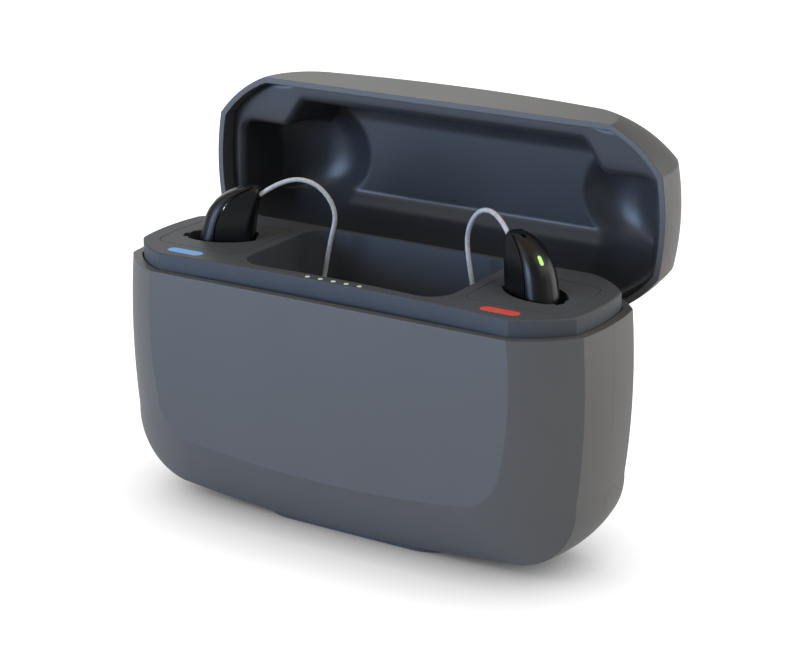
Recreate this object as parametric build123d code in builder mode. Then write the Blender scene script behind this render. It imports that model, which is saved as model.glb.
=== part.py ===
from build123d import *
import math
import os

# A hearing aid charger case, lid open, with a pair of receiver-in-canal aids standing in it.
# Millimetres. Origin at the bottom centre of the base, +X to the right, +Y to the back, +Z up.

# Case outline at the rim: a long octagon whose corner facets and sides bow out
rim_half_x = 48.0
facet_run = 10.5
panel_half_x = rim_half_x - facet_run
panel_y = 17.7
facet_rise = 8.2
rim_side_y = panel_y - facet_rise
facet_bow = 0.87
side_bow = 0.87

# Base: depths are measured down from the rim
base_keel = 46.6
base_crown = 2.1
base_belly = 0.65
base_belly_drop = 16.0
base_hip = 0.35
base_corner_x = 10.2
base_corner_z = 13.5
base_panel_keel = 34.1
base_panel_crown = 1.7
base_panel_hip = 0.8
base_panel_corner_x = 9.2
base_panel_corner_z = 7.9
base_round = 0.69
side_keel_drop = 0.5
base_wall = 1.6
foot_proud = 0.5

# Lid: heights are measured up from its own rim
lid_keel = 23.9
lid_crown = 0.8
lid_belly = -0.05
lid_belly_drop = 3.0
lid_hip = 0.5
lid_corner_x = 17.4
lid_corner_z = 16.9
lid_panel_keel = 13.4
lid_panel_crown = 2.4
lid_panel_hip = 0.6
lid_panel_corner_x = 8.4
lid_panel_corner_z = 6.8
lid_round = 0.66
lid_wall = 1.1
lid_gap = 0.2
lid_open_angle = 90.0

# Hinge at the back, its axis along X
hinge_depth = 1.95
hinge_y = panel_y - hinge_depth
hinge_drop = 3.625
pin_r = 0.75
pin_fit = 0.04
barrel_r = 1.9
knuckle_w = 3.0
arm_w = 7.4
arm_edge = 0.1
arm_out = panel_half_x - knuckle_w - arm_edge
arm_in = arm_out - arm_w
arm_side_fit = 0.25
arm_t = 1.4
arm_skin = 0.2
arm_y_out = panel_y - arm_skin
arm_y_in = arm_y_out - arm_t
arm_rise = 3.6
arm_fit = 0.05
knuckle_fit = 0.3
relief_r = 4.4
stop_gap = 0.15

# Port inserts, one for each aid
insert_edge = 5.6
insert_span = 18.3
insert_out_x = rim_half_x - insert_edge
insert_in_x = insert_out_x - insert_span
insert_bow = 0.9
insert_front_y = -9.2
insert_back_y = 10.0
insert_corner = 2.2
insert_t = 2.0
insert_fit = 0.12
insert_skew = 1.4
cup_wall = 1.2
cup_floor = 12.4
cup_floor_t = 1.2
slot_in = 5.5
slot_in_half = 2.7
slot_half = 4.6
slot_widest = -2.2
slot_out = -7.3
slot_out_half = 2.4
slot_end_bow = 0.5
notch_half = 1.2
notch_reach = 0.8

# Deck: the dark plate that carries the aids, with the receiver bowl moulded in
deck_rise = 3.1
deck_gap = 0.25
deck_seat = 1.3
ledge_w = 1.0
ledge_t = 1.2
deck_front_sag = 1.35
deck_edge = 0.25
bowl_rib = 2.3
bowl_half_x = insert_in_x - bowl_rib
bowl_front_y = -12.85
bowl_front_sag = 1.05
bowl_back_y = 14.3
bowl_corner = 5.0
bowl_floor = 14.5
bowl_wall = 1.4
bowl_fillet = 3.0
light_pitch = 2.75
light_y = -13.3
light_count = 5
light_r = 0.45
light_hole_r = 0.65
light_len = 3.3
aid_in = 8.7
aid_x = insert_in_x + aid_in
marker_shift = 0.6
marker_x = aid_x + marker_shift
marker_y = -12.4
marker_w = 7.6
marker_h = 2.4
marker_t = 0.7

# Aids: t runs from the spine to the tip, along the aid's plan angle
aid_y = 0.52
aid_angle = 25.6
aid_foot = 0.3
# Sections: height above the foot or the deck, spine, inner face, half width, spine and inner rounds
aid_low = ((0.0, -3.6, 3.4, 2.5, 2.0, 1.4), (2.2, -5.2, 4.6, 3.2, 2.7, 1.6),
           (8.0, -5.8, 4.75, 3.45, 3.0, 1.7))
aid_high = ((0.0, -5.4, 4.9, 3.42, 3.0, 1.6), (2.9, -4.6, 5.25, 3.3, 2.9, 1.5),
            (5.4, -3.6, 5.6, 3.05, 2.7, 1.4), (7.6, -1.75, 6.0, 2.6, 2.3, 1.2),
            (9.0, 0.5, 6.25, 2.1, 1.8, 1.0), (9.8, 2.9, 6.2, 1.4, 1.2, 0.8))
aid_top = 9.8
aid_socket_r = 0.85
aid_socket_len = 2.5
cover_gap = 0.25
button_travel = 0.2
aid_lift = 35.0
lamp_w = 0.75
lamp_h = 1.5
lamp_rise = 6.4
lamp_side = 0.6
lamp_reach = 6.0
lamp_depth = 3.9
mic_t = 2.4
mic_len = 1.35
mic_w = 0.63
mic_depth = 2.0
cover_seam = ((-2.6, -2.0), (-2.3, 1.0), (-0.5, 6.2), (6.9, 10.2))
cover_reach = 9.0
socket_depth = 4.0
pad_r = 1.0
pad_t = 0.3
pad_pitch = 3.4
pin_tip_r = 0.6

# Receiver wire, receiver and dome of the right aid: x from the aid, z from the rim, chosen by hand
wire_r = 0.45
arc_share = 0.45
wire_route = [
    (-5.9, 2.6, 11.5),
    (-9.5, 5.2, 14.6),
    (-15.1, 7.8, 14.4),
    (-18.9, 9.6, 8.8),
    (-17.5, 8.8, 2.2),
    (-15.9, 9.0, -6.0),
    (-16.6, 4.8, -9.3),
    (-17.6, 1.4, -9.6),
]
receiver_r = 1.7
receiver_len = 6.0
receiver_round = 0.5
dome_r = 4.0
dome_len = 4.6
dome_wall = 0.6
dome_hub_r = 1.4
dome_skirt = 1.0
dome_swell = 0.76

# Inside the base
board_edge = 15.0
board_half_x = rim_half_x - board_edge
board_y = 12.6
board_t = 1.2
rib_t = 1.5
rib_x = board_half_x - rib_t
cell_edge = 1.0
cell_half_x = rib_x - rib_t - cell_edge
cell_half_y = 9.0
cell_t = 11.5
cell_round = 2.0
cell_floor = 3.4
cell_drop = base_keel - cell_floor
board_gap = 1.5
board_drop = cell_drop - cell_t - board_gap
cell_rib_in = 11.0
cell_rib_x = cell_half_x - cell_rib_in
usb_half_w = 4.47
usb_h = 3.2
usb_len = 7.3
usb_wall = 0.3
usb_fit = 0.25
usb_sunk = 0.4
magnet_r = 2.0
magnet_t = 1.8
magnet_fit = 0.05
magnet_edge = 9.4
magnet_x = rim_half_x - magnet_edge
magnet_y = -12.0
foot_edge = 26.0
foot_half_x = rim_half_x - foot_edge
foot_half_y = 8.4
foot_t = 1.9

# Lid liner: heights above the lid's rim
liner_face = 3.75
liner_fit = 0.05
liner_wall = 1.3
pocket_front_y = -13.8
pocket_step_y = -8.5
step_in = 1.8
step_out = 0.5
pocket_step_in = aid_x - step_in
pocket_step_out = aid_x + step_out
pocket_edge = 2.7
pocket_half_x = rim_half_x - pocket_edge
pocket_back_y = 15.6
pocket_round = 3.0
trough_top = 18.0
trough_front_round = 6.5
trough_ridge_round = 3.0
trough_ridge_y = 7.7
trough_back_rise = 5.5
room_shift = 0.6
room_x = aid_x + room_shift
room_y = 0.0
room_z = 6.7
room_r = 14.5

rim_z = base_keel + side_keel_drop + foot_proud
deck_z = rim_z + deck_rise
hinge_z = rim_z - hinge_drop
hinge_axis = Axis((0, hinge_y, hinge_z), (1, 0, 0))
facet_angle = math.atan2(facet_rise, facet_run)
front_turn = math.tan(facet_angle / 2)
side_turn = math.tan((math.pi / 2 - facet_angle) / 2)
facet_nx = math.sin(facet_angle)
facet_ny = math.cos(facet_angle)


class Outline:
    """Half of a section of the case: a bowed side, a round corner and a crowned keel."""

    def __init__(self, half_x, belly, belly_drop, hip, corner_x, corner_z, keel, crown, share):
        self.half_x = half_x
        self.belly = (half_x + belly, belly_drop)
        self.hip = (half_x - hip, keel - crown - corner_z)
        self.toe = (half_x - hip - corner_x, keel - crown)
        self.knee = (self.toe[0] + corner_x * share, self.hip[1] + corner_z * share)
        self.keel = keel

    def moved(self, out):
        """The same outline, larger by out on every side."""
        copy = Outline.__new__(Outline)
        lean = out * math.sqrt(0.5)
        copy.half_x = self.half_x + out
        copy.belly = (self.belly[0] + out, self.belly[1])
        copy.hip = (self.hip[0] + out, self.hip[1])
        copy.knee = (self.knee[0] + lean, self.knee[1] + lean)
        copy.toe = (self.toe[0], self.toe[1] + out)
        copy.keel = self.keel + out
        return copy

    def halfway(self, other):
        copy = Outline.__new__(Outline)
        copy.half_x = (self.half_x + other.half_x) / 2
        copy.keel = (self.keel + other.keel) / 2
        for name in ("belly", "hip", "knee", "toe"):
            a, b = getattr(self, name), getattr(other, name)
            setattr(copy, name, ((a[0] + b[0]) / 2, (a[1] + b[1]) / 2))
        return copy


base_crease = Outline(rim_half_x, base_belly, base_belly_drop, base_hip, base_corner_x,
                      base_corner_z, base_keel, base_crown, base_round)
base_panel = Outline(panel_half_x, base_belly, base_belly_drop * base_panel_keel / base_keel,
                     base_panel_hip, base_panel_corner_x, base_panel_corner_z,
                     base_panel_keel, base_panel_crown, base_round)
lid_crease = Outline(rim_half_x, lid_belly, lid_belly_drop, lid_hip, lid_corner_x,
                     lid_corner_z, lid_keel, lid_crown, lid_round)
lid_panel = Outline(panel_half_x, lid_belly, lid_belly_drop * lid_panel_keel / lid_keel,
                    lid_panel_hip, lid_panel_corner_x, lid_panel_corner_z,
                    lid_panel_keel, lid_panel_crown, lid_round)


def outline_face(outline, y, level, up):
    """A section of the case in the plane at y, closed along the rim at level."""
    with BuildSketch(Plane.XZ.offset(-y)) as face:
        with BuildLine():
            rim_r = (outline.half_x, level)
            rim_l = (-outline.half_x, level)

            def at(point, side):
                return (side * point[0], level + up * point[1])

            Line(rim_l, rim_r)
            ThreePointArc(rim_r, at(outline.belly, 1), at(outline.hip, 1))
            ThreePointArc(at(outline.hip, 1), at(outline.knee, 1), at(outline.toe, 1))
            ThreePointArc(at(outline.toe, 1), (0, level + up * outline.keel), at(outline.toe, -1))
            ThreePointArc(at(outline.toe, -1), at(outline.knee, -1), at(outline.hip, -1))
            ThreePointArc(at(outline.hip, -1), at(outline.belly, -1), rim_l)
        make_face()
    return face.sketch


def case_hull(panel, crease, inset, level, up):
    """The closed form of the base or the lid, drawn in by inset: bowed facets between creases."""
    tight_panel = panel.moved(-inset * front_turn)
    tight_crease = crease.moved(-inset)
    front_y = panel_y - inset
    crease_y = rim_side_y - inset * side_turn
    middle = tight_panel.halfway(tight_crease).moved(facet_bow * facet_nx)
    middle_y = (front_y + crease_y) / 2 + facet_bow * facet_ny
    side = tight_crease.moved(side_bow)
    side.keel = tight_crease.keel + side_keel_drop
    side.toe = (side.toe[0], tight_crease.toe[1] + side_keel_drop)
    with BuildPart() as hull:
        for way in (-1, 1):
            add(outline_face(tight_panel, way * front_y, level, up))
            add(outline_face(middle, way * middle_y, level, up))
            add(outline_face(tight_crease, way * crease_y, level, up))
            loft()
        add(outline_face(tight_crease, -crease_y, level, up))
        add(outline_face(side, 0, level, up))
        add(outline_face(tight_crease, crease_y, level, up))
        loft()
    return hull.part


def rim_plan(inset, front_sag=0.0):
    """The rim's outline in plan, drawn in by inset, its front edge hollowed by front_sag."""
    ax = panel_half_x - inset * front_turn
    ay = panel_y - inset
    bx = rim_half_x - inset
    by = rim_side_y - inset * side_turn
    mx = (ax + bx) / 2 + facet_bow * facet_nx
    my = (ay + by) / 2 + facet_bow * facet_ny
    with BuildSketch(mode=Mode.PRIVATE) as plan:
        with BuildLine():
            if front_sag:
                ThreePointArc((-ax, -ay), (0, -ay + front_sag), (ax, -ay))
            else:
                Line((-ax, -ay), (ax, -ay))
            ThreePointArc((ax, -ay), (mx, -my), (bx, -by))
            ThreePointArc((bx, -by), (bx + side_bow, 0), (bx, by))
            ThreePointArc((bx, by), (mx, my), (ax, ay))
            Line((ax, ay), (-ax, ay))
            ThreePointArc((-ax, ay), (-mx, my), (-bx, by))
            ThreePointArc((-bx, by), (-bx - side_bow, 0), (-bx, -by))
            ThreePointArc((-bx, -by), (-mx, -my), (-ax, -ay))
        make_face()
    return plan.sketch


def bowl_plan(out):
    """The receiver bowl's mouth, larger by out."""
    with BuildSketch(mode=Mode.PRIVATE) as plan:
        with BuildLine():
            x = bowl_half_x + out
            front = bowl_front_y - out
            ThreePointArc((-x, front), (0, front + bowl_front_sag), (x, front))
            Line((x, front), (x, bowl_back_y + out))
            Line((x, bowl_back_y + out), (-x, bowl_back_y + out))
            Line((-x, bowl_back_y + out), (-x, front))
        make_face()
        fillet(plan.vertices(), bowl_corner + out)
    return plan.sketch


def insert_plan(out):
    """The right port insert's plate in plan, larger by out."""
    with BuildSketch(mode=Mode.PRIVATE) as plan:
        with BuildLine():
            low = (insert_out_x + out, insert_front_y - out)
            high = (insert_out_x + out, insert_back_y - insert_skew + out)
            Line((insert_in_x - out, insert_front_y - out), low)
            ThreePointArc(low, (insert_out_x + insert_bow + out, 0), high)
            Line(high, (insert_in_x - out, insert_back_y + out))
            Line((insert_in_x - out, insert_back_y + out), (insert_in_x - out, insert_front_y - out))
        make_face()
        fillet(plan.vertices(), insert_corner + out)
    return plan.sketch


def aid_plane(z):
    """A level plane at z whose x runs from the right aid's spine to its tip."""
    turn = math.radians(aid_angle)
    return Plane(origin=(aid_x, aid_y, z), x_dir=(-math.cos(turn), math.sin(turn), 0), z_dir=(0, 0, 1))


def slot_plan(out, notch):
    """The slot that an aid drops into, in the aid's own directions, larger by out."""
    with BuildSketch(mode=Mode.PRIVATE) as plan:
        with BuildLine():
            inner = slot_in + out
            outer = slot_out - out
            Line((inner, -slot_in_half - out), (inner, slot_in_half + out))
            ThreePointArc((inner, slot_in_half + out), (slot_widest, slot_half + out),
                          (outer, slot_out_half + out))
            ThreePointArc((outer, slot_out_half + out), (outer - slot_end_bow, 0),
                          (outer, -slot_out_half - out))
            ThreePointArc((outer, -slot_out_half - out), (slot_widest, -slot_half - out),
                          (inner, -slot_in_half - out))
        make_face()
        if notch:
            with Locations((outer, 0)):
                Rectangle(2 * (notch_reach + slot_end_bow), 2 * notch_half)
    return plan.sketch


def right_and_left(part, stem):
    """Write the right piece and its mirror image, the left one."""
    for side, shape in (("right", part), ("left", mirror(part, about=Plane.YZ, mode=Mode.PRIVATE))):
        with BuildPart() as piece:
            add(shape)
        piece.part.label = f"{side}_{stem}"
        export_step(piece.part, f"parts/{side}_{stem}.step")


def keep(part, name):
    part.label = name
    export_step(part, f"parts/{name}.step")


def opened(part):
    """A lid piece, modelled closed, turned to its open place about the hinge."""
    return part.rotate(hinge_axis, -lid_open_angle)


os.makedirs("parts", exist_ok=True)

# Base shells: two half shells that meet at y = 0
base_outer = case_hull(base_panel, base_crease, 0, rim_z, -1)
base_inner = case_hull(base_panel, base_crease, base_wall, rim_z, -1)
rib_form = case_hull(base_panel, base_crease, base_wall / 2, rim_z, -1)
ledge_z = rim_z - deck_seat
board_z = rim_z - board_drop
cell_z = rim_z - cell_drop
usb_z = board_z + board_t + usb_h / 2

with BuildPart() as ribs:
    for x in (-rib_x, rib_x):
        with BuildSketch(Plane.YZ.offset(x)):
            with Locations((0, board_z / 2)):
                Rectangle(2 * panel_y, board_z)
        extrude(amount=rib_t / 2, both=True)
    for x in (-cell_rib_x, cell_rib_x):
        with BuildSketch(Plane.YZ.offset(x)):
            with Locations((0, cell_z / 2)):
                Rectangle(2 * panel_y, cell_z)
        extrude(amount=rib_t / 2, both=True)
    add(rib_form, mode=Mode.INTERSECT)

with BuildPart() as ledge:
    with BuildSketch(Plane.XY.offset(ledge_z - ledge_t)):
        add(rim_plan(base_wall - ledge_w / 4))
        add(rim_plan(base_wall + ledge_w), mode=Mode.SUBTRACT)
        add(bowl_plan(bowl_wall + deck_gap), mode=Mode.SUBTRACT)
    extrude(amount=ledge_t)

knuckle_top = ledge_z - knuckle_fit
knuckle_bottom = hinge_z - barrel_r - knuckle_fit
knuckle_reach = panel_y - base_wall / 2 - hinge_y + barrel_r
pin_half = (arm_out - arm_in) / 2 + knuckle_w
notch_bottom = hinge_z - barrel_r - stop_gap

with BuildPart() as shell:
    add(base_outer)
    add(base_inner, mode=Mode.SUBTRACT)
    add(ribs.part)
    add(ledge.part)
    for side in (-1, 1):
        with BuildSketch(Plane.XY.offset(knuckle_bottom)):
            with Locations((side * (arm_in + arm_out) / 2, panel_y - base_wall / 2)):
                Rectangle(arm_out - arm_in + 2 * knuckle_w, knuckle_reach, align=(Align.CENTER, Align.MAX))
        extrude(amount=knuckle_top - knuckle_bottom)
        with BuildSketch(Plane.XY.offset(notch_bottom)):
            with Locations((side * (arm_in + arm_out) / 2, panel_y)):
                Rectangle(arm_out - arm_in + 2 * arm_side_fit,
                          2 * (panel_y - hinge_y + barrel_r + knuckle_fit))
        extrude(amount=rim_z - notch_bottom, mode=Mode.SUBTRACT)
        with BuildSketch(Plane.YZ.offset(side * (arm_in + arm_out) / 2)):
            with Locations((hinge_y, hinge_z)):
                Circle(pin_r + pin_fit)
        extrude(amount=pin_half, both=True, mode=Mode.SUBTRACT)
    with BuildSketch(Plane.XZ.offset(-panel_y)):
        with Locations((0, usb_z)):
            SlotOverall(2 * (usb_half_w + usb_fit), usb_h + 2 * usb_fit)
    extrude(amount=3 * base_wall, both=True, mode=Mode.SUBTRACT)

with BuildPart() as front_shell:
    add(shell.part)
    split(bisect_by=Plane.XZ, keep=Keep.TOP)
keep(front_shell.part, "front_shell")

with BuildPart() as rear_shell:
    add(shell.part)
    split(bisect_by=Plane.XZ, keep=Keep.BOTTOM)
keep(rear_shell.part, "rear_shell")

# Hinge pins, one through each arm
with BuildPart() as hinge_pin:
    with BuildSketch(Plane.YZ.offset((arm_in + arm_out) / 2)):
        with Locations((hinge_y, hinge_z)):
            Circle(pin_r)
    extrude(amount=pin_half, both=True)
right_and_left(hinge_pin.part, "hinge_pin")

# Rubber foot under the keel
with BuildPart() as foot_pad:
    with BuildSketch(Plane.XY):
        SlotOverall(2 * foot_half_x, 2 * foot_half_y)
    extrude(amount=foot_t)
    add(base_outer, mode=Mode.SUBTRACT)
keep(foot_pad.part, "foot_pad")

# Deck with the receiver bowl
deck_inset = base_wall + deck_gap
deck_bottom = rim_z - deck_seat
with BuildPart() as right_bore:
    with BuildSketch(Plane.XY.offset(deck_z - insert_t)):
        add(insert_plan(insert_fit))
    extrude(amount=insert_t)
    with BuildSketch(aid_plane(deck_bottom)):
        add(slot_plan(cup_wall + 2 * insert_fit, True))
    extrude(amount=deck_z - deck_bottom)

with BuildPart() as deck:
    with BuildSketch(Plane.XY.offset(deck_bottom)):
        add(rim_plan(deck_inset, deck_front_sag))
    extrude(amount=deck_z - deck_bottom)
    chamfer(deck.edges().group_by(Axis.Z)[-1], deck_edge)
    with BuildSketch(Plane.XY.offset(rim_z - bowl_floor - bowl_wall)):
        add(bowl_plan(bowl_wall))
    extrude(amount=bowl_floor + bowl_wall - deck_seat)
    with BuildSketch(Plane.XY.offset(rim_z - bowl_floor)):
        add(bowl_plan(0))
    extrude(amount=bowl_floor + deck_rise, mode=Mode.SUBTRACT)
    floor_z = rim_z - bowl_floor
    fillet(deck.edges().filter_by_position(Axis.Z, floor_z, floor_z), bowl_fillet)
    for side in (-1, 1):
        with BuildSketch(Plane.XY.offset(deck_z - marker_t)):
            with Locations((side * marker_x, marker_y)):
                SlotOverall(marker_w, marker_h)
        extrude(amount=marker_t, mode=Mode.SUBTRACT)
        with BuildSketch(Plane.XY.offset(deck_bottom)):
            with Locations((side * magnet_x, magnet_y)):
                Circle(magnet_r + magnet_fit)
        extrude(amount=magnet_t, mode=Mode.SUBTRACT)
    for i in range(light_count):
        with BuildSketch(Plane.XY.offset(deck_bottom)):
            with Locations(((i - (light_count - 1) / 2) * light_pitch, light_y)):
                Circle(light_hole_r)
        extrude(amount=deck_z - deck_bottom, mode=Mode.SUBTRACT)
    add(right_bore.part, mode=Mode.SUBTRACT)
    mirror(right_bore.part, about=Plane.YZ, mode=Mode.SUBTRACT)
keep(deck.part, "deck")

# Battery lights in the deck's front strip
for i in range(light_count):
    with BuildPart() as battery_light:
        with BuildSketch(Plane.XY.offset(deck_z - light_len)):
            with Locations(((i - (light_count - 1) / 2) * light_pitch, light_y)):
                Circle(light_r)
        extrude(amount=light_len)
    keep(battery_light.part, f"battery_light_{i + 1}")

# Side markers, flush in the deck
with BuildPart() as marker:
    with BuildSketch(Plane.XY.offset(deck_z - marker_t)):
        with Locations((marker_x, marker_y)):
            SlotOverall(marker_w, marker_h)
    extrude(amount=marker_t)
right_and_left(marker.part, "marker")

# Port inserts with the aids' wells
cup_bottom = rim_z - cup_floor - cup_floor_t
with BuildPart() as port_insert:
    with BuildSketch(Plane.XY.offset(deck_z - insert_t)):
        add(insert_plan(0))
    extrude(amount=insert_t)
    with BuildSketch(aid_plane(cup_bottom)):
        add(slot_plan(cup_wall, False))
    extrude(amount=deck_z - insert_t - cup_bottom)
    with BuildSketch(aid_plane(rim_z - cup_floor)):
        add(slot_plan(0, False))
    extrude(amount=cup_floor + deck_rise, mode=Mode.SUBTRACT)
    with BuildSketch(aid_plane(deck_z - insert_t / 2)):
        add(slot_plan(0, True))
    extrude(amount=insert_t / 2, mode=Mode.SUBTRACT)
right_and_left(port_insert.part, "port_insert")

# Spring contacts in the floor of each well
with BuildPart() as charge_pins:
    with BuildSketch(aid_plane(rim_z - cup_floor)):
        with Locations((-pad_pitch / 2, 0), (pad_pitch / 2, 0)):
            Circle(pin_tip_r)
    extrude(amount=aid_foot / 2)
right_and_left(charge_pins.part, "charge_pins")

# Circuit board on the ribs, with the charging inlet at the back
with BuildPart() as main_board:
    with BuildSketch(Plane.XY.offset(board_z)):
        Rectangle(2 * board_half_x, 2 * board_y)
    extrude(amount=board_t)
keep(main_board.part, "main_board")

usb_back = panel_y - usb_sunk
with BuildPart() as usb_socket:
    with BuildSketch(Plane.XZ.offset(-usb_back)):
        with Locations((0, usb_z)):
            SlotOverall(2 * usb_half_w, usb_h)
    extrude(amount=usb_len)
    with BuildSketch(Plane.XZ.offset(-usb_back)):
        with Locations((0, usb_z)):
            SlotOverall(2 * (usb_half_w - usb_wall), usb_h - 2 * usb_wall)
            Rectangle(2 * usb_half_w - usb_h, usb_wall * 2, mode=Mode.SUBTRACT)
    extrude(amount=usb_len - 2 * usb_wall, mode=Mode.SUBTRACT)
keep(usb_socket.part, "usb_socket")

with BuildPart() as battery_cell:
    with BuildSketch(Plane.XY.offset(cell_z)):
        RectangleRounded(2 * cell_half_x, 2 * cell_half_y, cell_round)
    extrude(amount=cell_t)
keep(battery_cell.part, "battery_cell")

with BuildPart() as base_magnet:
    with BuildSketch(Plane.XY.offset(deck_bottom)):
        with Locations((magnet_x, magnet_y)):
            Circle(magnet_r)
    extrude(amount=magnet_t)
right_and_left(base_magnet.part, "base_magnet")

# Lid, modelled closed above its own rim and turned open
lid_z = rim_z + lid_gap
with BuildPart() as relief:
    with BuildSketch(Plane.YZ):
        with Locations((hinge_y, hinge_z)):
            Circle(relief_r)
    extrude(amount=rim_half_x, both=True)

with BuildPart() as arm_slots:
    for side in (-1, 1):
        with BuildSketch(Plane.XY.offset(lid_z)):
            with Locations((side * (arm_in + arm_out) / 2, panel_y)):
                Rectangle(arm_out - arm_in + 2 * arm_fit, 2 * (panel_y - arm_y_in))
        extrude(amount=arm_rise)

with BuildPart() as lid_shell_closed:
    add(case_hull(lid_panel, lid_crease, 0, lid_z, 1))
    add(case_hull(lid_panel, lid_crease, lid_wall, lid_z, 1), mode=Mode.SUBTRACT)
    add(relief.part, mode=Mode.SUBTRACT)
    add(arm_slots.part, mode=Mode.SUBTRACT)
keep(opened(lid_shell_closed.part), "lid_shell")

# Hinge arms: a barrel round the pin and a leaf up into the lid's back wall
with BuildPart() as lid_arm_closed:
    with BuildSketch(Plane.YZ.offset((arm_in + arm_out) / 2)):
        with Locations((hinge_y, hinge_z)):
            Circle(barrel_r)
        with Locations(((arm_y_in + arm_y_out) / 2, (hinge_z + lid_z + arm_rise) / 2)):
            Rectangle(arm_y_out - arm_y_in, lid_z + arm_rise - hinge_z)
        with Locations((hinge_y, hinge_z)):
            Circle(pin_r + pin_fit, mode=Mode.SUBTRACT)
    extrude(amount=(arm_out - arm_in) / 2, both=True)
right_and_left(opened(lid_arm_closed.part), "lid_arm")

# Liner: a moulded tray whose stepped mouth leaves a broad face in the front corners
face_z = lid_z + liner_face
trough_z = lid_z + trough_top


def liner_hull(inset):
    """The lid's inside form, drawn in from the liner's outer face."""
    return case_hull(lid_panel, lid_crease, lid_wall + liner_fit + inset, lid_z, 1)


def mouth_form(out):
    """The stepped mouth of the lid's pocket, carried up through the lid, larger by out."""
    with BuildPart() as form:
        with BuildSketch(Plane.XY.offset(lid_z)):
            with BuildLine():
                FilletPolyline(
                    (-pocket_half_x, pocket_back_y), (-pocket_half_x, pocket_step_y),
                    (-pocket_step_out, pocket_step_y), (-pocket_step_in, pocket_front_y),
                    (pocket_step_in, pocket_front_y), (pocket_step_out, pocket_step_y),
                    (pocket_half_x, pocket_step_y), (pocket_half_x, pocket_back_y),
                    radius=pocket_round, close=True)
            make_face()
            if out:
                offset(amount=out)
        extrude(amount=lid_keel)
    return form.part


def trough_form(out):
    """The trough seen from the side, carried across the lid, larger by out."""
    with BuildPart() as form:
        with BuildSketch(Plane.YZ) as side_view:
            with BuildLine():
                Polyline((pocket_front_y, lid_z), (pocket_front_y, trough_z), (trough_ridge_y, trough_z),
                         (pocket_back_y, lid_z + trough_back_rise), (pocket_back_y, lid_z),
                         (pocket_front_y, lid_z))
            make_face()
            front = side_view.vertices().group_by(Axis.Y)[-1].sort_by(Axis.X)[0]
            fillet(front, trough_front_round)
            ridge = side_view.vertices().group_by(Axis.Y)[-1].sort_by(Axis.X)[-1]
            fillet(ridge, trough_ridge_round)
            if out:
                offset(amount=out)
        extrude(amount=rim_half_x, both=True)
    return form.part


with BuildPart() as pocket:
    add(liner_hull(liner_wall))
    add(mouth_form(0), mode=Mode.INTERSECT)
    add(trough_form(0), mode=Mode.INTERSECT)

with BuildPart() as aid_room:
    for side in (-1, 1):
        with Locations((side * room_x, room_y, lid_z + room_z)):
            Sphere(room_r)
    add(liner_hull(liner_wall / 2), mode=Mode.INTERSECT)
    add(mouth_form(0), mode=Mode.INTERSECT)

with BuildPart() as liner_skin:
    add(trough_form(liner_wall))
    add(mouth_form(liner_wall), mode=Mode.INTERSECT)

with BuildPart() as room_skin:
    for side in (-1, 1):
        with Locations((side * room_x, room_y, lid_z + room_z)):
            Sphere(room_r + liner_wall)
    add(mouth_form(liner_wall), mode=Mode.INTERSECT)

with BuildPart() as lid_liner_closed:
    with BuildSketch(Plane.XY.offset(face_z)):
        Rectangle(3 * rim_half_x, 3 * panel_y)
    extrude(amount=liner_wall)
    for side in (-1, 1):
        with BuildSketch(Plane.XY.offset(face_z)):
            with Locations((side * magnet_x, magnet_y)):
                Circle(magnet_r + liner_wall)
        extrude(amount=liner_wall / 2 + magnet_t)
    add(liner_skin.part)
    add(room_skin.part)
    add(liner_hull(0), mode=Mode.INTERSECT)
    with BuildSketch(Plane.XY.offset(lid_z)):
        Rectangle(3 * rim_half_x, 3 * panel_y)
    extrude(amount=liner_face, mode=Mode.SUBTRACT)
    add(pocket.part, mode=Mode.SUBTRACT)
    add(aid_room.part, mode=Mode.SUBTRACT)
    for side in (-1, 1):
        with BuildSketch(Plane.XY.offset(face_z + liner_wall / 2)):
            with Locations((side * magnet_x, magnet_y)):
                Circle(magnet_r + magnet_fit)
        extrude(amount=magnet_t, mode=Mode.SUBTRACT)
keep(opened(lid_liner_closed.part), "lid_liner")

with BuildPart() as lid_magnet_closed:
    with BuildSketch(Plane.XY.offset(face_z + liner_wall / 2)):
        with Locations((magnet_x, magnet_y)):
            Circle(magnet_r)
    extrude(amount=magnet_t)
right_and_left(opened(lid_magnet_closed.part), "lid_magnet")

# The right aid: sections across its height, from the battery end up to the tip
foot_z = rim_z - cup_floor + aid_foot
aid_sections = [(foot_z + z, *rest) for z, *rest in aid_low]
aid_sections += [(deck_z + z, *rest) for z, *rest in aid_high]
with BuildPart() as aid_form:
    for z, spine, inner, half, spine_round, inner_round in aid_sections:
        with BuildSketch(aid_plane(z)) as section:
            with Locations(((spine + inner) / 2, 0)):
                Rectangle(inner - spine, 2 * half)
            fillet(section.vertices().group_by(Axis.X)[0], spine_round)
            fillet(section.vertices().group_by(Axis.X)[-1], inner_round)
    loft()

# The cover over the spine is the aid's push button; its edge sweeps up to the tip
turn = math.radians(aid_angle)
aid_side = Plane(origin=(aid_x, aid_y, deck_z), x_dir=(-math.cos(turn), math.sin(turn), 0),
                 z_dir=(math.sin(turn), math.cos(turn), 0))


def cover_region(back):
    """The side view of the spine cover, its seam drawn back by the given gap."""
    with BuildPart() as region:
        with BuildSketch(aid_side):
            with BuildLine():
                lean = back * math.sqrt(0.5)
                low, start, middle, end = cover_seam
                low = (low[0] - back, low[1] + back)
                start = (start[0] - back, start[1])
                end = (end[0] - back, end[1] + back)
                Polyline((-cover_reach, low[1]), low, start)
                ThreePointArc(start, (middle[0] - lean, middle[1] + lean), end)
                Polyline(end, (end[0], 2 * aid_top), (-cover_reach, 2 * aid_top), (-cover_reach, low[1]))
            make_face()
        extrude(amount=cover_reach, both=True)
    return region.part


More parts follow.
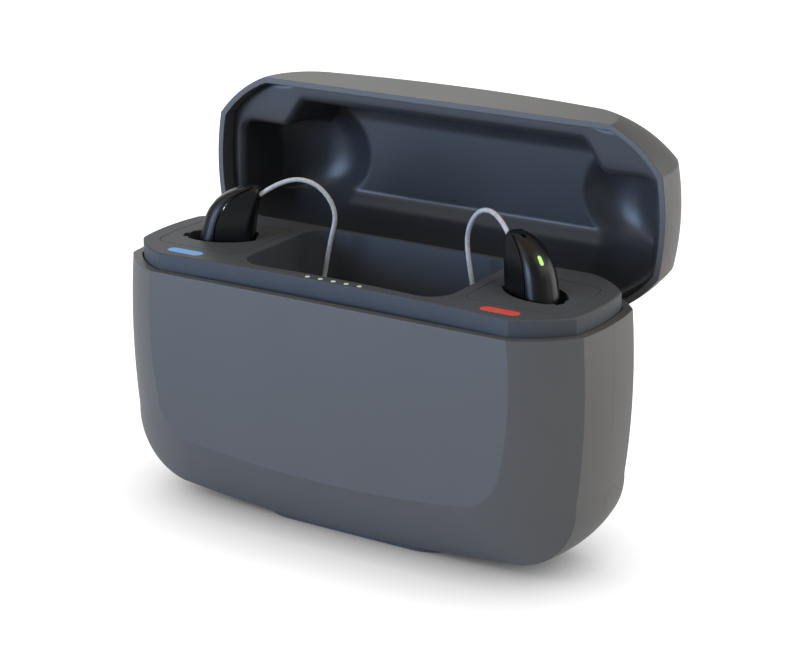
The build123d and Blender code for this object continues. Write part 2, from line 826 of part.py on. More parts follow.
lamp_plane = Plane(origin=aid_plane(deck_z + lamp_rise).from_local_coords((-lamp_reach, lamp_side, 0)),
                   x_dir=aid_side.z_dir, z_dir=aid_side.x_dir)
mic_plane = Plane(origin=aid_plane(deck_z + aid_top).from_local_coords((mic_t, lamp_side, 0)),
                  x_dir=aid_side.x_dir, z_dir=(0, 0, -1))
with BuildPart() as lamp_hole:
    with BuildSketch(lamp_plane):
        SlotOverall(lamp_h, lamp_w, rotation=90)
    extrude(amount=lamp_depth)

with BuildPart() as mic_hole:
    with BuildSketch(mic_plane):
        SlotOverall(mic_len, mic_w)
    extrude(amount=mic_depth)

with BuildPart() as spine_form:
    add(aid_form.part)
    add(cover_region(0), mode=Mode.INTERSECT)

with BuildPart() as aid_cover:
    add(spine_form.part)
    add(lamp_hole.part, mode=Mode.SUBTRACT)
    add(mic_hole.part, mode=Mode.SUBTRACT)
right_and_left(aid_cover.part, "aid_button")

with BuildPart() as aid_lamp:
    add(spine_form.part)
    add(lamp_hole.part, mode=Mode.INTERSECT)
right_and_left(aid_lamp.part, "aid_light")

wire_points = [Vector(aid_x + x, y, rim_z + z) for x, y, z in wire_route]
exit_dir = (wire_points[1] - wire_points[0]).normalized()
socket_plane = Plane(origin=wire_points[0], z_dir=exit_dir)
with BuildPart() as aid_body:
    add(aid_form.part)
    add(cover_region(-cover_gap), mode=Mode.SUBTRACT)
    with BuildSketch(aid_plane(foot_z)):
        with Locations((-pad_pitch / 2, 0), (pad_pitch / 2, 0)):
            Circle(pad_r)
    extrude(amount=pad_t, mode=Mode.SUBTRACT)
    with BuildSketch(socket_plane.offset(-aid_socket_len)):
        Circle(aid_socket_r)
    extrude(amount=socket_depth, mode=Mode.SUBTRACT)
right_and_left(aid_body.part, "aid_body")

with BuildPart() as aid_pads:
    with BuildSketch(aid_plane(foot_z)):
        with Locations((-pad_pitch / 2, 0), (pad_pitch / 2, 0)):
            Circle(pad_r)
    extrude(amount=pad_t)
right_and_left(aid_pads.part, "aid_pads")

with BuildPart() as wire_socket:
    with BuildSketch(socket_plane.offset(-aid_socket_len)):
        Circle(aid_socket_r)
    extrude(amount=aid_socket_len)
right_and_left(wire_socket.part, "wire_socket")

# Receiver wire: straight runs joined by the widest arcs they allow
radii = []
for a, b, c in zip(wire_points, wire_points[1:], wire_points[2:]):
    bend = math.radians((b - a).get_angle(c - b))
    shorter = min((b - a).length, (c - b).length)
    radii.append(arc_share * shorter / math.tan(bend / 2))
print("wire radii", [round(r, 2) for r in radii])

with BuildPart() as receiver_wire:
    with BuildLine() as wire_path:
        FilletPolyline(*wire_points, radius=radii)
    with BuildSketch(socket_plane):
        Circle(wire_r)
    sweep()
print("wire length", round(wire_path.wire().length, 2), "volume", round(receiver_wire.part.volume, 3),
      "section times length", round(math.pi * wire_r ** 2 * wire_path.wire().length, 3))
right_and_left(receiver_wire.part, "receiver_wire")

tail = wire_points[-1]
tail_dir = (wire_points[-1] - wire_points[-2]).normalized()
tail_plane = Plane(origin=tail, z_dir=tail_dir)
with BuildPart() as receiver:
    with BuildSketch(tail_plane):
        Circle(receiver_r)
    extrude(amount=receiver_len)
    fillet(receiver.edges(), receiver_round)
right_and_left(receiver.part, "receiver")

dome_side = Plane(origin=tail_plane.offset(receiver_len).origin, x_dir=tail_dir, z_dir=tail_plane.x_dir)
with BuildPart() as dome:
    with BuildSketch(dome_side):
        with BuildLine():
            nose = (dome_len - dome_skirt, 0)
            skirt = (-dome_skirt, dome_r)
            inside = (-dome_skirt, dome_r - dome_wall)
            root = (dome_len - dome_skirt - 2 * dome_wall, dome_hub_r)
            ThreePointArc(nose, (dome_len * dome_swell - dome_skirt, dome_r * dome_swell), skirt)
            Line(skirt, inside)
            ThreePointArc(inside, (root[0] * dome_swell, (dome_r - dome_wall) * dome_swell), root)
            Line(root, (0, dome_hub_r))
            Line((0, dome_hub_r), (0, 0))
            Line((0, 0), nose)
        make_face()
    revolve(axis=Axis(dome_side.origin, tail_dir))
right_and_left(dome.part, "dome")
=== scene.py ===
import math

import bmesh
import bpy
import numpy as np
from mathutils import Matrix, Vector


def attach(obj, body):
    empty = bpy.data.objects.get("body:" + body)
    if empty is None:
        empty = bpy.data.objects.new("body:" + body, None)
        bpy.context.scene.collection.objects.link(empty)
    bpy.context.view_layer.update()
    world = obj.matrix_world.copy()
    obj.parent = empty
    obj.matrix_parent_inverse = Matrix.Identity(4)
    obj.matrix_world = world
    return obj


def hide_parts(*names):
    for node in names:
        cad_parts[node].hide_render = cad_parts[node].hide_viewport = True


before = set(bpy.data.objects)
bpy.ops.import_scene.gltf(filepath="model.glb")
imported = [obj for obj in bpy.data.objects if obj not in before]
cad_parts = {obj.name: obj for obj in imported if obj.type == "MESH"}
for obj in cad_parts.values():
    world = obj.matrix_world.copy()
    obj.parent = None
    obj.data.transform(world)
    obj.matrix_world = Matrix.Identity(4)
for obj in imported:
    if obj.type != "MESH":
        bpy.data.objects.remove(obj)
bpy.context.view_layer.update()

bl_info = {
    "name": "Hearing aid charger",
    "version": (1, 0, 0),
    "blender": (4, 5, 0),
    "location": "3D View > Sidebar > Charger",
    "description": "Finishes a hearing aid charger and the pair of aids standing in it",
    "category": "Object",
}

MM = 0.001
SIDES = {"left": -1.0, "right": 1.0}


# Colours and sizes a user may change


def linear(code):
    """An sRGB hex colour as linear red, green, blue and alpha."""
    parts = [int(code[i : i + 2], 16) / 255 for i in (1, 3, 5)]
    return [c / 12.92 if c <= 0.04045 else ((c + 0.055) / 1.055) ** 2.4 for c in parts] + [1.0]


def colour(name, description, code):
    """A colour property with an sRGB hex default."""
    return bpy.props.FloatVectorProperty(
        name=name, description=description, subtype="COLOR", size=4, min=0, max=1, default=linear(code)
    )


class ChargerColours(bpy.types.PropertyGroup):
    """Colours of the case and the aids."""

    case: colour("Case", "Satin grey moulding of base and lid", "#505253")
    deck: colour("Deck", "Dark plate round the receiver bowl", "#4D5257")
    liner: colour("Liner", "Dark tray inside the lid", "#38393B")
    left_mark: colour("Left marker", "Inlay for the left ear", "#55AEFF")
    right_mark: colour("Right marker", "Inlay for the right ear", "#EA5641")
    aid: colour("Aid", "Gloss black housing", "#0B0C0E")
    light: colour("Light", "Lit lens", "#A5E36B")


class ChargerSizes(bpy.types.PropertyGroup):
    """Sizes of the wire and the grain."""

    wire: bpy.props.FloatProperty(
        name="Wire", description="Diameter of the receiver wire", default=0.0009, unit="LENGTH", min=0.0003
    )
    grain: bpy.props.FloatProperty(
        name="Grain", description="Pitch of the moulded grain", default=0.0004, unit="LENGTH", min=0.0001
    )


# Shader helpers


def add_node(tree, kind, settings=None, links=None, **values):
    """Adds a node, sets its properties and its socket values, and links sockets to (node, output)."""
    node = tree.nodes.new(kind)
    for name, value in (settings or {}).items():
        setattr(node, name, value)
    for name, value in values.items():
        node.inputs[name.replace("_", " ")].default_value = value
    for name, (source, output) in (links or {}).items():
        tree.links.new(source.outputs[output], node.inputs[name])
    return node


def surface(name, base, roughness, **values):
    """A material with one Principled shader, and that shader."""
    material = bpy.data.materials.new(name)
    material.use_nodes = True
    shader = material.node_tree.nodes["Principled BSDF"]
    shader.inputs["Base Color"].default_value = base
    shader.inputs["Roughness"].default_value = roughness
    for key, value in values.items():
        shader.inputs[key.replace("_", " ")].default_value = value
    return material, shader


def noise_on(tree, pitch, **values):
    """Noise on Object coordinates, with its pitch as a length."""
    place = add_node(tree, "ShaderNodeTexCoord")
    return add_node(
        tree, "ShaderNodeTexNoise", links={"Vector": (place, "Object")}, Scale=1 / pitch, **values
    )


def grain(material, shader, pitch, strength, depth, edge=0.2 * MM):
    """Moulded grain: fine noise drives a bump, over edges broken by a small radius."""
    tree = material.node_tree
    broken = add_node(tree, "ShaderNodeBevel", {"samples": 4}, Radius=edge)
    noise = noise_on(tree, pitch, Detail=2.0, Roughness=0.6)
    links = {"Height": (noise, "Fac"), "Normal": (broken, "Normal")}
    bump = add_node(tree, "ShaderNodeBump", links=links, Strength=strength, Distance=depth)
    tree.links.new(bump.outputs["Normal"], shader.inputs["Normal"])


def uneven(material, shader, pitch, change):
    """Uneven skin: slow noise varies the value of the colour and the roughness by a share."""
    tree = material.node_tree
    share = add_node(
        tree,
        "ShaderNodeMapRange",
        links={"Value": (noise_on(tree, pitch, Detail=3.0), "Fac")},
        From_Min=0.3,
        From_Max=0.7,
        To_Min=1 - change,
        To_Max=1 + change,
    )
    base = shader.inputs["Base Color"]
    tone = add_node(
        tree, "ShaderNodeHueSaturation", links={"Value": (share, "Result")}, Color=tuple(base.default_value)
    )
    tree.links.new(tone.outputs["Color"], base)
    rough = add_node(tree, "ShaderNodeMath", {"operation": "MULTIPLY"}, {0: (share, "Result")})
    rough.inputs[1].default_value = shader.inputs["Roughness"].default_value
    tree.links.new(rough.outputs["Value"], shader.inputs["Roughness"])
    return material


# Finishes


def case_moulding(colours, sizes):
    """Painted satin ABS: soft broad highlights. The real grain is too fine to show, so here and on the other
    mouldings it is drawn coarser, at the pitch that the user may change."""
    material, shader = surface("painted_satin_abs", colours.case, 0.42, IOR=1.5, Specular_IOR_Level=0.6)
    grain(material, shader, sizes.grain, 0.12, 0.04 * MM, 0.3 * MM)
    return uneven(material, shader, 12 * MM, 0.02)


def deck_moulding(colours, sizes):
    """Polycarbonate moulded in a spark-eroded tool: black-grey and nearly matt."""
    material, shader = surface("eroded_polycarbonate", colours.deck, 0.5, IOR=1.5, Specular_IOR_Level=0.2)
    grain(material, shader, sizes.grain, 0.2, 0.05 * MM)
    return uneven(material, shader, 6 * MM, 0.03)


def liner_moulding(colours, sizes):
    """Satin moulded polycarbonate: glossier than the deck, so the rooms and the lip catch the light."""
    material, shader = surface("satin_polycarbonate", colours.liner, 0.34, IOR=1.5, Specular_IOR_Level=0.4)
    grain(material, shader, sizes.grain, 0.1, 0.04 * MM)
    return uneven(material, shader, 8 * MM, 0.03)


def inlay_abs(name, tint):
    """ABS coloured right through and set flush: an even, clear colour with a soft sheen."""
    return uneven(*surface(name, tint, 0.4), 3 * MM, 0.04)


def lit_lens(name, tint, glow, strength, pitch):
    """Moulded acrylic over a lamp: a smooth skin that glows softly from behind."""
    finish = surface(name, tint, 0.2, Emission_Color=glow, Emission_Strength=strength)
    return uneven(*finish, pitch, 0.1)


def aid_nylon(colours):
    """Lacquered black nylon: nearly black, with small crisp highlights along the spine."""
    finish = surface("gloss_black_nylon", colours.aid, 0.3, IOR=1.5, Specular_IOR_Level=0.3)
    return uneven(*finish, 2 * MM, 0.08)


def finish_nodes(material, *names):
    """Puts one material on CAD nodes."""
    for name in names:
        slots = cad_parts[name].data.materials
        slots.clear()
        slots.append(material)


def both(stem):
    """The names of a piece on the left and on the right."""
    return [f"{side}_{stem}" for side in SIDES]


# Name, colour, roughness, metallic, pitch of the uneven skin in mm, its share, and the nodes
INNER_FINISHES = (
    # Ground on a centreless wheel: bright, with short broken highlights
    ("ground_steel", "#A8A8A8", 0.3, 1.0, 0.6, 0.15, [*both("hinge_pin"), "usb_socket"]),
    # Pressed from powder and fired: dark and slightly cloudy
    ("sintered_steel", "#505255", 0.45, 1.0, 0.4, 0.2, both("lid_arm")),
    # Barrel plated: a warm silver with a soft mirror
    ("nickel_plate", "#B8B6B0", 0.25, 1.0, 1.5, 0.1, both("base_magnet") + both("lid_magnet")),
    # Flash plated over nickel: a clear yellow glint
    ("gold_plate", "#D9A94E", 0.25, 1.0, 0.5, 0.12, both("charge_pins") + both("aid_pads")),
    # Resin screened over the copper: a deep green that dulls where it is thin
    ("solder_mask", "#1C5A32", 0.4, 0.0, 1.2, 0.15, ["main_board"]),
    # Laminated aluminium pouch: grey, with slow waves in the shine
    ("cell_foil", "#9A9C9E", 0.35, 1.0, 4.0, 0.12, ["battery_cell"]),
    # Moulded rubber: dark grey and dull all over
    ("moulded_rubber", "#4A4C4E", 0.7, 0.0, 0.8, 0.15, ["foot_pad"]),
)


# Case and deck


class CHARGER_OT_case(bpy.types.Operator):
    """Finishes the case's shells"""

    bl_idname = "charger.case"
    bl_label = "Case shells"

    def execute(self, context):
        scene = context.scene
        moulding = case_moulding(scene.charger_colours, scene.charger_sizes)
        finish_nodes(moulding, "front_shell", "rear_shell", "lid_shell")
        return {"FINISHED"}


class CHARGER_OT_deck(bpy.types.Operator):
    """Finishes the deck, the port inserts, the markers and the charge lights"""

    bl_idname = "charger.deck"
    bl_label = "Deck"

    def execute(self, context):
        scene = context.scene
        colours = scene.charger_colours
        finish_nodes(deck_moulding(colours, scene.charger_sizes), "deck", *both("port_insert"))
        finish_nodes(inlay_abs("blue_inlay_abs", colours.left_mark), "left_marker")
        finish_nodes(inlay_abs("red_inlay_abs", colours.right_mark), "right_marker")
        lens = lit_lens("lit_acrylic_lens", linear("#C4CDBE"), linear("#D8F5C0"), 0.3, 0.6 * MM)
        finish_nodes(lens, *[f"battery_light_{i}" for i in range(1, 6)])
        return {"FINISHED"}


# Lid tray: sizes in mm in the closed lid, x across, y from front to back, heights above the lid's rim

HINGE_Y, HINGE_Z = 15.75, 43.975
LID_RIM = 47.8
# Height of the flat face round the mouth, thickness of the wall, and the bowed octagon of the outline
TRAY_FACE = 3.75
TRAY_WALL = 0.6
TRAY_OUTLINE = (47.2, 16.9)
FACET_CORNER = (37.3, 9.1)
FACET_BOW = 0.87
# The mouth, whose front side steps forward across the middle
MOUTH_X = 45.4
MOUTH_FRONT = -13.6
MOUTH_STEP = -8.1
MOUTH_BACK = 15.6
MOUTH_ROUND = 3.0
MOUTH_BLEND = 1.0
STEP_FROM, STEP_TO = 30.0, 35.4
# The rolled lip, the least width of the face, and the round at the foot of the wall
ROLL = 0.9
TRAY_RIM = 1.7
FOOT_ROUND = 2.6
# The line that the tray's rays start from
SPINE_X, SPINE_Y = 37.5, 1.0
# The trough, with its shelf and its back slope
TROUGH = 18.0
TROUGH_ROUND = 6.5
RIDGE_Y = 7.7
RIDGE_BLEND = 0.4
SHELF_FALL, SLOPE_FALL = 0.7, 2.4
BACK_RISE = 5.5
BACK_BLEND = 2.5
# The ball-shaped room over each aid, and the lid's crown that limits it
ROOM_X, ROOM_Y, ROOM_Z = 33.4, 0.0, 6.7
ROOM_R = 14.5
ROOM_BLEND = 0.8
CROWN_X, CROWN_Z, CROWN_R, CROWN_RISE = 30.1, 6.2, 15.5, 15.0
CROWN_Y, CROWN_FALL = 8.7, 1.28
CROWN_BLEND = 1.6
# Rings of the mesh across the face, lip, foot and floor, and rays along the middle and round each end
FACE_RINGS, LIP_RINGS, FOOT_RINGS, FLOOR_RINGS = 4, 8, 14, 29
MIDDLE_RAYS, END_RAYS = 242, 30
# Keep a division by a ray's direction finite
TINY = 1e-9
LEAST_SLANT = 1e-6
# How near two points are merged, in metres
SAME_POINT = 1e-7
SAME_EDGE = 1e-8


def smooth_max(a, b, reach):
    """The larger of two heights, with the crease between them rounded: a quadratic blend over the reach."""
    share = np.clip(0.5 + 0.5 * (a - b) / reach, 0, 1)
    return b + (a - b) * share + reach * share * (1 - share)


def smooth_min(a, b, reach):
    """The smaller of two heights, with the same rounding."""
    return -smooth_max(-a, -b, reach)


def tray_depth(x, y):
    """Depth of the tray's floor above the lid's rim: a trough with a round front corner, a shelf and a
    sloped back, or a ball round each aid where that is deeper, held under the lid's elliptical crown."""
    front = MOUTH_FRONT + TROUGH_ROUND
    fall = np.clip(front - y, 0, TROUGH_ROUND)
    trough = TROUGH - TROUGH_ROUND + np.sqrt(TROUGH_ROUND**2 - fall**2)
    shelf = TROUGH - (y - RIDGE_Y) * SHELF_FALL
    slope = BACK_RISE + (MOUTH_BACK - y) * SLOPE_FALL
    trough = smooth_min(smooth_min(trough, shelf, RIDGE_BLEND), slope, BACK_BLEND)
    ball = ROOM_Z + np.sqrt(np.clip(ROOM_R**2 - (np.abs(x) - ROOM_X) ** 2 - (y - ROOM_Y) ** 2, 0, None))
    across = np.clip((np.abs(x) - CROWN_X) / CROWN_R, 0, 1)
    crown = CROWN_Z + CROWN_RISE * np.sqrt(1 - across**2)
    crown = crown - np.clip(np.abs(y) - CROWN_Y, 0, None) * CROWN_FALL
    return smooth_min(smooth_max(trough, ball, ROOM_BLEND), crown, CROWN_BLEND)


def tray_rays():
    """Rays from the tray's spine line to its edge, anticlockwise: across the middle they run straight to
    the front or back, and at each end of the spine they fan out. Returns origins and directions."""
    quarter = np.linspace(0, math.pi / 2, END_RAYS, endpoint=False)
    run = np.linspace(SPINE_X, -SPINE_X, MIDDLE_RAYS)
    ahead = np.full(run.size, math.pi / 2)
    angle = np.concatenate([quarter, ahead, quarter[1:] + math.pi / 2, [math.pi]])
    origin = np.concatenate([np.full(END_RAYS, SPINE_X), run, np.full(END_RAYS, -SPINE_X)])
    back = slice(1, -1)
    angle = np.concatenate([angle, (2 * math.pi - angle[back])[::-1]])
    origin = np.concatenate([origin, origin[back][::-1]])
    return origin, np.stack([np.cos(angle), np.sin(angle)], 1)


def mouth_reach(origin, direction):
    """How far each ray runs to the mouth: a box with round corners whose front side steps in an S to the
    deeper middle."""
    front = direction[:, 1] < 0
    height = np.where(front, SPINE_Y - MOUTH_STEP, MOUTH_BACK - SPINE_Y)
    run = np.abs(direction[:, 0]) + TINY
    rise = np.abs(direction[:, 1]) + TINY
    reach = np.minimum((MOUTH_X - SPINE_X) / run, height / rise)
    centre = np.stack([np.full(height.size, MOUTH_X - MOUTH_ROUND - SPINE_X), height - MOUTH_ROUND], 1)
    along = run * centre[:, 0] + rise * centre[:, 1]
    arc = along + np.sqrt(np.clip(along**2 - (centre**2).sum(1) + MOUTH_ROUND**2, 0, None))
    in_corner = (run * reach > centre[:, 0]) & (rise * reach > centre[:, 1])
    reach = np.where(in_corner, arc, reach)
    step = np.clip((STEP_TO - np.abs(origin)) / (STEP_TO - STEP_FROM), 0, 1)
    return reach + np.where(front, (MOUTH_STEP - MOUTH_FRONT) * step**2 * (3 - 2 * step), 0)


def outline_point(origin, direction):
    """Where each ray meets the tray's outline: an octagon whose corner facets and two ends bow out in
    parabolas."""
    x, y = direction[:, 0] + TINY, direction[:, 1] + TINY
    outer, corner = np.array(TRAY_OUTLINE), np.array(FACET_CORNER)
    facet = (outer - corner)[::-1]
    facet = facet / np.hypot(*facet)
    face = facet @ np.array([outer[0], corner[1]])
    side = np.sign(x) * outer[0]
    end = np.sign(y) * outer[1]
    slant = facet[0] * np.sign(x) * x + facet[1] * np.sign(y) * y
    start = facet[0] * np.sign(x) * origin + facet[1] * np.sign(y) * SPINE_Y
    to_facet = (face - start) / np.maximum(slant, LEAST_SLANT)
    reach = np.min([(side - origin) / x, (end - SPINE_Y) / y, to_facet], 0)
    place = np.stack([origin, np.full(origin.size, SPINE_Y)], 1) + direction * reach[:, None]
    along = ((np.abs(place) - (outer + corner) / 2) @ np.array([facet[1], -facet[0]])) * 2
    along = along / np.hypot(*(outer - corner))
    bow = FACET_BOW * np.clip(1 - along**2, 0, 1)
    bow_side = FACET_BOW * np.clip(1 - (place[:, 1] / corner[1]) ** 2, 0, 1)
    place = place + np.sign(place) * facet * bow[:, None]
    place[:, 0] += np.sign(place[:, 0]) * bow_side * (np.abs(place[:, 1]) < corner[1])
    return place


def tray_surface():
    """The tray, as a profile carried round its mouth: flat face, quarter-round lip, steep wall that turns
    into the floor over a quarter ellipse, and the floor in to the spine line. Rings run inwards."""
    origin, direction = tray_rays()
    start = np.stack([origin, np.full(origin.size, SPINE_Y)], 1)
    outline = outline_point(origin, direction)
    room = np.hypot(*(outline - start).T) - TRAY_RIM
    reach = smooth_min(mouth_reach(origin, direction), room, MOUTH_BLEND)
    mouth = start + direction * reach[:, None]
    tangent = np.roll(mouth, -1, 0) - np.roll(mouth, 1, 0)
    normal = np.stack([tangent[:, 1], -tangent[:, 0]], 1) / np.hypot(*tangent.T)[:, None]
    face = np.linspace(0, 1, FACE_RINGS, endpoint=False)[:, None, None]
    face = outline * (1 - face) + (mouth + normal * ROLL) * face
    turn = np.linspace(0, math.pi / 2, LIP_RINGS)
    roll = mouth + normal * (ROLL * (1 - np.sin(turn)))[:, None, None]
    foot = np.linspace(0, math.pi / 2, FOOT_RINGS + 1)[1:]
    inset = np.repeat(FOOT_ROUND * (1 - np.cos(foot))[:, None], reach.size, 1)
    share = np.linspace(0, 1, FLOOR_RINGS + 1)[1:, None]
    run = np.concatenate([inset, FOOT_ROUND + (reach - FOOT_ROUND) * share])
    floor = mouth - direction * run[..., None]
    rise = np.concatenate([np.sin(foot), np.ones(FLOOR_RINGS)])[:, None]
    base = TRAY_FACE + ROLL
    floor_z = base + (tray_depth(floor[..., 0], floor[..., 1]) - base) * rise
    roll_z = np.repeat((TRAY_FACE + ROLL * (1 - np.cos(turn)))[:, None], reach.size, 1)
    face_z = np.full(face.shape[:2], TRAY_FACE)
    height = np.concatenate([face_z, roll_z, floor_z])
    return np.concatenate([np.concatenate([face, roll, floor]), height[..., None]], 2)


def opened(points):
    """Points of the closed lid, with heights above its rim, turned open by a right angle about the hinge."""
    y = HINGE_Y + points[..., 2] + LID_RIM - HINGE_Z
    z = HINGE_Z - (points[..., 1] - HINGE_Y)
    return np.stack([points[..., 0], y, z], -1) * MM


def ring_mesh(name, grid):
    """A mesh over a grid of rings: quads between neighbours, closed round each ring, doubles merged."""
    rings, steps = grid.shape[:2]
    index = np.arange(rings * steps).reshape(rings, steps)
    onward = np.roll(index, -1, 1)
    quads = np.stack([index[:-1], onward[:-1], onward[1:], index[1:]], -1).reshape(-1, 4)
    mesh = bpy.data.meshes.new(name)
    mesh.vertices.add(rings * steps)
    mesh.vertices.foreach_set("co", grid.astype(np.float32).ravel())
    mesh.loops.add(quads.size)
    mesh.loops.foreach_set("vertex_index", quads.astype(np.int32).ravel())
    mesh.polygons.add(len(quads))
    mesh.polygons.foreach_set("loop_start", np.arange(0, quads.size, 4, dtype=np.int32))
    mesh.update(calc_edges=True)
    work = bmesh.new()
    work.from_mesh(mesh)
    bmesh.ops.remove_doubles(work, verts=work.verts, dist=SAME_POINT)
    bmesh.ops.dissolve_degenerate(work, edges=work.edges, dist=SAME_EDGE)
    work.to_mesh(mesh)
    work.free()
    mesh.shade_smooth()
    return mesh


def place_piece(name, data, material, body, node):
    """Links a finished piece, gives it its material, lets it ride on its body and take its node's place."""
    piece = bpy.data.objects.new(name, data)
    bpy.context.scene.collection.objects.link(piece)
    data.materials.append(material)
    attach(piece, body)
    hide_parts(node)
    return piece


class CHARGER_OT_liner(bpy.types.Operator):
    """Makes the moulded tray inside the lid"""

    bl_idname = "charger.liner"
    bl_label = "Lid liner"

    def execute(self, context):
        scene = context.scene
        material = liner_moulding(scene.charger_colours, scene.charger_sizes)
        mesh = ring_mesh("lid_tray", opened(tray_surface()))
        tray = place_piece("lid_tray", mesh, material, "lid", "lid_liner")
        wall = tray.modifiers.new("wall", "SOLIDIFY")
        wall.thickness = TRAY_WALL * MM
        wall.offset = -1
        return {"FINISHED"}


# Pieces that the case hides


class CHARGER_OT_inside(bpy.types.Operator):
    """Finishes the pieces inside the case and the hinge"""

    bl_idname = "charger.inside"
    bl_label = "Inner pieces"

    def execute(self, context):
        for name, code, roughness, metallic, pitch, change, nodes in INNER_FINISHES:
            finish = surface(name, linear(code), roughness, Metallic=metallic)
            finish_nodes(uneven(*finish, pitch * MM, change), *nodes)
        return {"FINISHED"}


# Aids and their wires

# Control points of the wire's centre line in mm, on the right side, with heights above the case's rim
WIRE_ROUTE = (
    (26.9, 2.6, 11.5),
    (23.3, 5.2, 14.6),
    (17.7, 7.8, 14.4),
    (13.9, 9.6, 8.8),
    (15.3, 8.8, 2.2),
    (16.9, 9.0, -6.0),
    (16.2, 4.8, -9.3),
    (15.2, 1.4, -9.6),
)
RIM_Z = 47.6


def wire_line(name, points, diameter):
    """A round wire along a quadratic B-spline through its two end points, closed at both ends."""
    curve = bpy.data.curves.new(name, "CURVE")
    curve.dimensions = "3D"
    curve.bevel_depth = diameter / 2
    curve.bevel_resolution = 5
    curve.resolution_u = 24
    curve.use_fill_caps = True
    spline = curve.splines.new("NURBS")
    spline.points.add(len(points) - 1)
    for point, place in zip(spline.points, points):
        point.co = (*place, 1.0)
    spline.order_u = 3
    spline.use_endpoint_u = True
    return curve


class CHARGER_OT_aids(bpy.types.Operator):
    """Finishes the aids and makes their receiver wires"""

    bl_idname = "charger.aids"
    bl_label = "Aids and wires"

    def execute(self, context):
        scene = context.scene
        colours = scene.charger_colours
        black = aid_nylon(colours)
        for stem in ("aid_body", "aid_button", "receiver", "wire_socket"):
            finish_nodes(black, *both(stem))
        lens = lit_lens("lit_status_lens", colours.light, colours.light, 0.5, 0.5 * MM)
        finish_nodes(lens, *both("aid_light"))
        # Cast silicone: dark, soft-edged and dull
        silicone = uneven(*surface("smoke_silicone", linear("#2A2B2D"), 0.5), 1.0 * MM, 0.1)
        finish_nodes(silicone, *both("dome"))
        # Drawn clear nylon over fine strands: pale, with a faint mottle where the strands show
        jacket = uneven(*surface("clear_wire_jacket", linear("#C8C8C8"), 0.35), 0.7 * MM, 0.12)
        for side, sign in SIDES.items():
            points = [(sign * x * MM, y * MM, (z + RIM_Z) * MM) for x, y, z in WIRE_ROUTE]
            curve = wire_line(f"{side}_wire_line", points, scene.charger_sizes.wire)
            body, node = f"{side}_aid", f"{side}_receiver_wire"
            wire = place_piece(f"{side}_shaped_wire", curve, jacket, body, node)
        return {"FINISHED"}


# Floor, lamps, world and camera

# Half side of the floor, and how near the object has to stand for the painted contact shadow to darken the
# floor, in metres
FLOOR_REACH = 3.0
PAINTED_SHADOW_REACH = 0.03
# Strength of the floor's white, and the share of white that glossy rays see
PAPER_GAIN = 1.36
GLOSS_SHARE = 0.3
SKY_STRENGTH = 0.15
# Square lamps in metres, watts and sRGB, all facing one point from one distance
LAMP_AIM = Vector((0, 0, 0.04))
LAMP_REACH = 0.9
LAMPS = (
    ("low_front", (-0.47, -0.84, 0.06), 0.5, 8.4, "#B5D3FF"),
    ("right_rear", (0.8, 0.6, 0.15), 0.7, 4.4, "#FFFCF8"),
    ("right_top", (0.7, 0.0, 0.7), 0.7, 2.9, "#FFFFFF"),
    ("overhead", (0.0, 0.0, 1.0), 1.0, 1.6, "#FFBC46"),
    ("high_front", (-0.6, -0.6, 0.6), 0.7, 1.5, "#FFFFFF"),
    ("left_rear", (-0.7, 0.7, 0.2), 0.7, 1.2, "#FFFFFF"),
)
# Place in metres, and yaw, downward pitch and roll in degrees
CAMERA_PLACE = (0.204119, -0.323329, 0.16583)
CAMERA_TURN = (-31.52, 18.51, 0.27)
CAMERA_LENS = 98.34


def area_lamp(name, direction, size, power, tint):
    """A square lamp that faces the object."""
    data = bpy.data.lights.new(name, "AREA")
    data.shape = "SQUARE"
    data.size = size
    data.energy = power
    data.color = linear(tint)[:3]
    lamp = bpy.data.objects.new(name, data)
    bpy.context.scene.collection.objects.link(lamp)
    lamp.location = LAMP_AIM + Vector(direction).normalized() * LAMP_REACH
    lamp.rotation_mode = "QUATERNION"
    lamp.rotation_quaternion = (LAMP_AIM - lamp.location).to_track_quat("-Z", "Y")


def seen_rays(tree):
    """The output that is 1 for camera and transmission rays, a share for glossy rays, and 0 for the light
    that falls on the object."""
    ray = add_node(tree, "ShaderNodeLightPath")
    gloss = add_node(tree, "ShaderNodeMath", {"operation": "MULTIPLY"}, {0: (ray, "Is Glossy Ray")})
    gloss.inputs[1].default_value = GLOSS_SHARE
    larger = {"operation": "MAXIMUM"}
    through = {0: (gloss, "Value"), 1: (ray, "Is Transmission Ray")}
    through = add_node(tree, "ShaderNodeMath", larger, through)
    seen = add_node(tree, "ShaderNodeMath", larger, {0: (ray, "Is Camera Ray"), 1: (through, "Value")})
    return seen, "Value"


def show_white(tree, lit, white, output):
    """Shows the white shader to seen rays, and the lit one to the rest."""
    mix = add_node(tree, "ShaderNodeMixShader", links={0: seen_rays(tree), 1: lit, 2: white})
    tree.links.new(mix.outputs["Shader"], tree.nodes[output].inputs["Surface"])


def studio_paper():
    """White paper sweep: matt, and white as far as it is seen, with a painted contact shadow: ambient
    occlusion darkens the seen white where the object stands close.
    """
    material, shader = surface("white_paper", linear("#F4F4F4"), 0.9, Specular_IOR_Level=0.1)
    tree = material.node_tree
    # Painted contact shadow: ambient occlusion darkens the white that camera and glossy rays see where the
    # object stands close
    painted_shadow = add_node(tree, "ShaderNodeAmbientOcclusion", {"samples": 32}, Distance=PAINTED_SHADOW_REACH)
    white = add_node(tree, "ShaderNodeEmission", links={"Color": (painted_shadow, "Color")}, Strength=PAPER_GAIN)
    show_white(tree, (shader, "BSDF"), (white, "Emission"), "Material Output")
    return material


def studio_world():
    """Dim even light from all round, and white where it is seen."""
    world = bpy.data.worlds.new("studio")
    world.use_nodes = True
    tree = world.node_tree
    sky = tree.nodes["Background"]
    sky.inputs["Color"].default_value = (1, 1, 1, 1)
    sky.inputs["Strength"].default_value = SKY_STRENGTH
    white = add_node(tree, "ShaderNodeBackground", Color=(1, 1, 1, 1), Strength=1.0)
    show_white(tree, (sky, "Background"), (white, "Background"), "World Output")
    return world


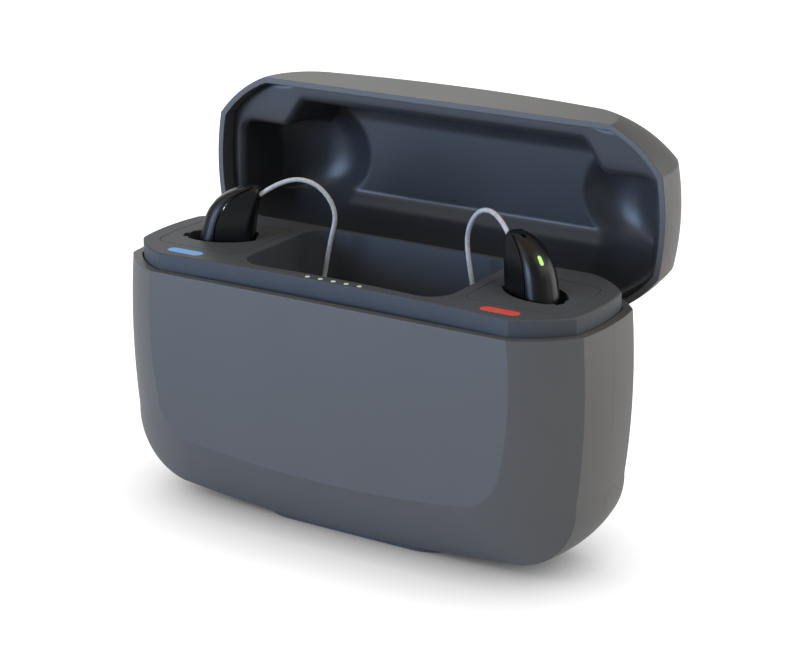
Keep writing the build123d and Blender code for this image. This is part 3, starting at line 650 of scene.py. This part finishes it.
def studio_camera():
    """The camera, turned by yaw and pitch and then rolled about its line of sight."""
    yaw, pitch, roll = (math.radians(a) for a in CAMERA_TURN)
    ahead = Vector((math.sin(yaw) * math.cos(pitch), math.cos(yaw) * math.cos(pitch), -math.sin(pitch)))
    right = Vector((math.cos(yaw), -math.sin(yaw), 0))
    up = right.cross(ahead)
    across = math.cos(roll) * right + math.sin(roll) * up
    above = -math.sin(roll) * right + math.cos(roll) * up
    data = bpy.data.cameras.new("camera")
    data.lens = CAMERA_LENS
    data.sensor_width = 36.0
    data.clip_start, data.clip_end = 0.01, 20.0
    camera = bpy.data.objects.new("camera", data)
    turn = Matrix((across, above, -ahead)).transposed()
    camera.matrix_world = Matrix.Translation(CAMERA_PLACE) @ turn.to_4x4()
    return camera


class CHARGER_OT_stage(bpy.types.Operator):
    """Makes the floor, the lamps, the world and the camera"""

    bl_idname = "charger.stage"
    bl_label = "Stage"

    def execute(self, context):
        scene = context.scene
        corners = [(x * FLOOR_REACH, y * FLOOR_REACH, 0) for x, y in ((-1, -1), (1, -1), (1, 1), (-1, 1))]
        mesh = bpy.data.meshes.new("floor")
        mesh.from_pydata(corners, [], [(0, 1, 2, 3)])
        mesh.materials.append(studio_paper())
        floor = bpy.data.objects.new("floor", mesh)
        scene.collection.objects.link(floor)
        for lamp in LAMPS:
            area_lamp(*lamp)
        scene.world = studio_world()
        scene.camera = studio_camera()
        scene.collection.objects.link(scene.camera)
        scene.view_settings.view_transform = "Standard"
        return {"FINISHED"}


# The add-on


class CHARGER_PT_panel(bpy.types.Panel):
    """Lists the charger's operators"""

    bl_idname = "CHARGER_PT_panel"
    bl_label = "Charger"
    bl_space_type = "VIEW_3D"
    bl_region_type = "UI"
    bl_category = "Charger"

    def draw(self, context):
        for operator in OPERATORS:
            self.layout.operator(operator.bl_idname)


OPERATORS = (
    CHARGER_OT_case,
    CHARGER_OT_deck,
    CHARGER_OT_liner,
    CHARGER_OT_inside,
    CHARGER_OT_aids,
    CHARGER_OT_stage,
)
CLASSES = (ChargerColours, ChargerSizes, *OPERATORS, CHARGER_PT_panel)


def register():
    """Registers the classes and the two groups of settings."""
    for cls in CLASSES:
        bpy.utils.register_class(cls)
    bpy.types.Scene.charger_colours = bpy.props.PointerProperty(type=ChargerColours)
    bpy.types.Scene.charger_sizes = bpy.props.PointerProperty(type=ChargerSizes)


def unregister():
    """Takes out what register put in."""
    del bpy.types.Scene.charger_sizes
    del bpy.types.Scene.charger_colours
    for cls in reversed(CLASSES):
        bpy.utils.unregister_class(cls)


def main():
    register()
    bpy.ops.charger.case()
    bpy.ops.charger.deck()
    bpy.ops.charger.liner()
    bpy.ops.charger.inside()
    bpy.ops.charger.aids()
    bpy.ops.charger.stage()


if __name__ == "__main__":
    main()
